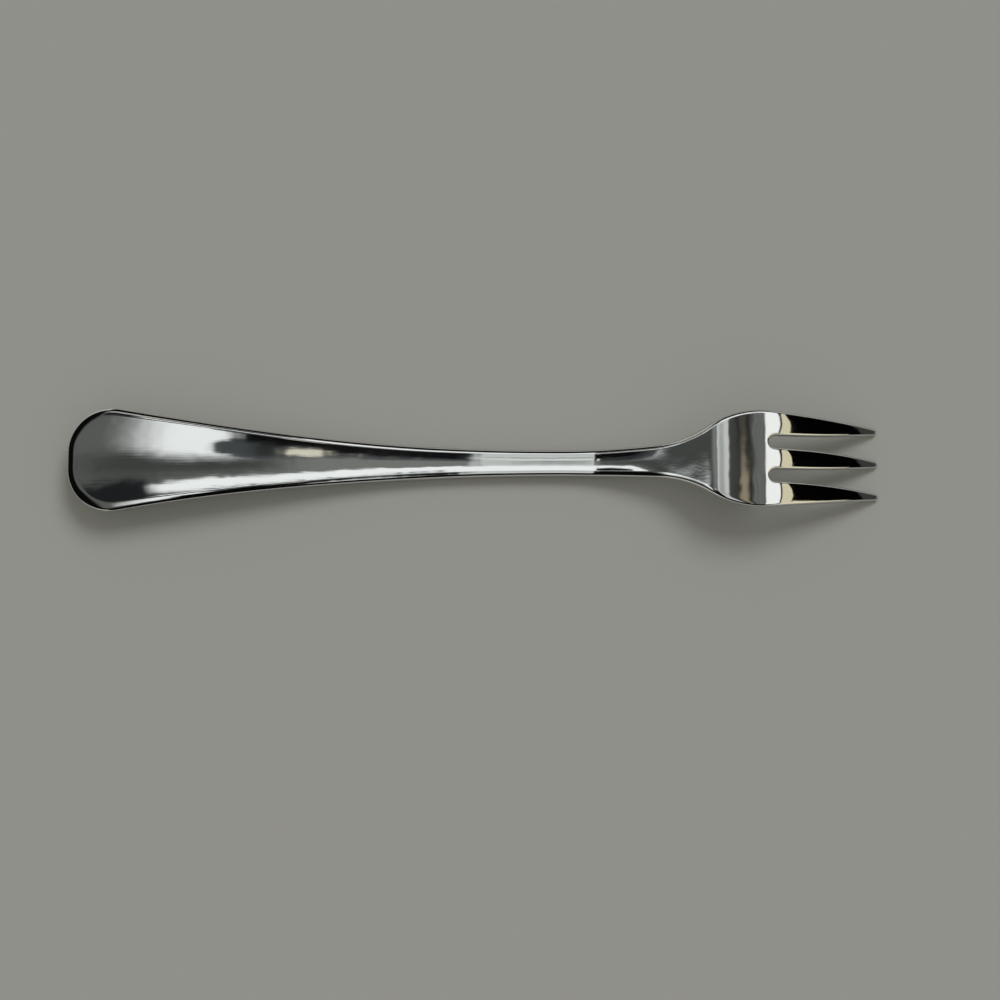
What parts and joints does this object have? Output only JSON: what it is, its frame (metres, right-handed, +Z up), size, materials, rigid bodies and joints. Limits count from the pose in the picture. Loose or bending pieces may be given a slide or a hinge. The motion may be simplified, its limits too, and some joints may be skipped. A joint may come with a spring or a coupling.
{
  "type": "oyster fork",
  "caption": "Small polished stainless steel oyster fork with a broad hollow-backed handle, a slim neck and short, tapered, blunt-tipped tines.",
  "frame": {"origin": "middle of the fork's length and width, on the table it lies on, under its back", "axes": "+X along the fork towards the tips of the tines, +Y across it, +Z up out of its back, which faces up as it lies on its front"},
  "size_m": [0.14, 0.0178, 0.009],
  "materials": {
    "stainless_steel": "polished, with fine wear scratches"
  },
  "bodies": {
    "root": {"handle": "stainless_steel", "neck": "stainless_steel", "head": "stainless_steel", "tine_left": "stainless_steel", "tine_middle": "stainless_steel", "tine_right": "stainless_steel"}
  },
  "joints": []
}
